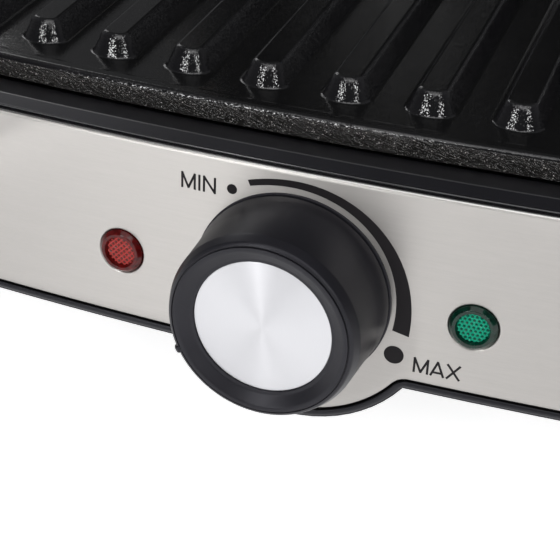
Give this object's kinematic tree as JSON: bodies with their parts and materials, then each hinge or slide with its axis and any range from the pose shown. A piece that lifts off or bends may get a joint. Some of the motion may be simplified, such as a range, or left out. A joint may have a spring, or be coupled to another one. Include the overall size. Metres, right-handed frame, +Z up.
{
  "type": "panini press",
  "caption": "Floating-lid contact grill standing open: ribbed plates, brushed front panel with a thermostat knob between two lamps, arms with a bar handle, drip tray.",
  "frame": {"origin": "on the surface it stands on, under the middle of the open press", "axes": "+X to the right seen from the knob, +Y to the back, +Z up; the knob faces -Y"},
  "size_m": [0.334, 0.3794, 0.4265],
  "materials": {
    "black_housing": "fine-grained black heat-resistant plastic",
    "black_base_plate": "moulded black plastic, dull",
    "tray_plastic": "moulded black plastic",
    "brushed_panel": "stainless sheet, brushed along its length",
    "nonstick_coating": "sprayed black non-stick coating, slightly glittery",
    "heater_sheath": "oxidised steel sheath",
    "plain_steel": "plain steel",
    "aluminised_sheet": "aluminised sheet",
    "knob_plastic": "satin black plastic with a fine grain",
    "spun_disc": "spun aluminium, turned from its middle",
    "nickel_plate": "nickel-plated steel",
    "phenolic_case": "brown phenolic",
    "nylon": "natural nylon",
    "red_lens": "clear red plastic, faceted behind",
    "green_lens": "clear green plastic, dimpled behind",
    "lamp_glass": "glow lamp",
    "foot_rubber": "black rubber",
    "gland_rubber": "black rubber bush",
    "wire_sleeve": "glass-fibre sleeve",
    "arm_steel": "brushed steel bar",
    "grip_plastic": "satin black plastic"
  },
  "bodies": {
    "base": {"base_shell": "black_housing", "base_wiring": "wire_sleeve", "bottom_cover": "black_base_plate", "bottom_screws": "nickel_plate", "bush_nut": "nickel_plate", "drain_tube": "aluminised_sheet", "front_panel": "brushed_panel", "green_lamp_holder": "nylon", "green_lens": "green_lens", "green_neon_lamp": "lamp_glass", "hinge_pins": "nickel_plate", "hinge_stop_pegs": "plain_steel", "hinge_washers": "nylon", "inlet_gland": "gland_rubber", "knob_ring": "knob_plastic", "left_hinge_tower": "black_housing", "lower_heater": "heater_sheath", "lower_heater_straps": "plain_steel", "lower_plate": "nonstick_coating", "lower_reflector": "aluminised_sheet", "plate_posts": "plain_steel", "red_lamp_holder": "nylon", "red_lens": "red_lens", "red_neon_lamp": "lamp_glass", "right_hinge_tower": "black_housing", "rubber_feet": "foot_rubber", "terminal_block": "nylon", "thermostat": "phenolic_case", "top_bezel": "black_housing"},
    "knob_assembly": {"knob": "knob_plastic", "knob_disc": "spun_disc", "knob_shaft": "plain_steel"},
    "drip_tray_body": {"drip_tray": "tray_plastic"},
    "arms": {"left_arm": "arm_steel", "right_arm": "arm_steel", "handle_grip": "grip_plastic", "handle_core": "plain_steel", "handle_bolts": "nickel_plate"},
    "lid": {"lid_frame": "black_housing", "lid_cover": "brushed_panel", "upper_plate": "nonstick_coating", "upper_heater": "heater_sheath", "upper_heater_straps": "plain_steel", "upper_reflector": "aluminised_sheet", "lid_posts": "plain_steel", "thermal_fuse": "plain_steel", "pivot_brackets": "plain_steel", "pivot_pins": "nickel_plate", "pivot_spacers": "nylon"}
  },
  "joints": [
    {"name": "lid_hinge", "type": "hinge", "parent": "base", "child": "arms", "pos_m": [0, 0.1096, 0.098], "axis": [1, 0, 0], "range_deg": [0, 100]},
    {"name": "lid_float", "type": "hinge", "parent": "arms", "child": "lid", "pos_m": [0, 0.14329, 0.25453], "axis": [-1, 0, 0], "range_deg": [0, 10]},
    {"name": "thermostat_knob", "type": "hinge", "parent": "base", "child": "knob_assembly", "pos_m": [0, -0.1684, 0.05], "axis": [0, 0.9957, -0.0924], "range_deg": [0, 231.5]},
    {"name": "tray_slide", "type": "slide", "parent": "base", "child": "drip_tray_body", "axis": [0, 1, 0], "range_m": [0, 0.09]}
  ],
  "couplings": [
    {"joint": "lid_float", "follows": "lid_hinge", "ratio": 0.1}
  ]
}
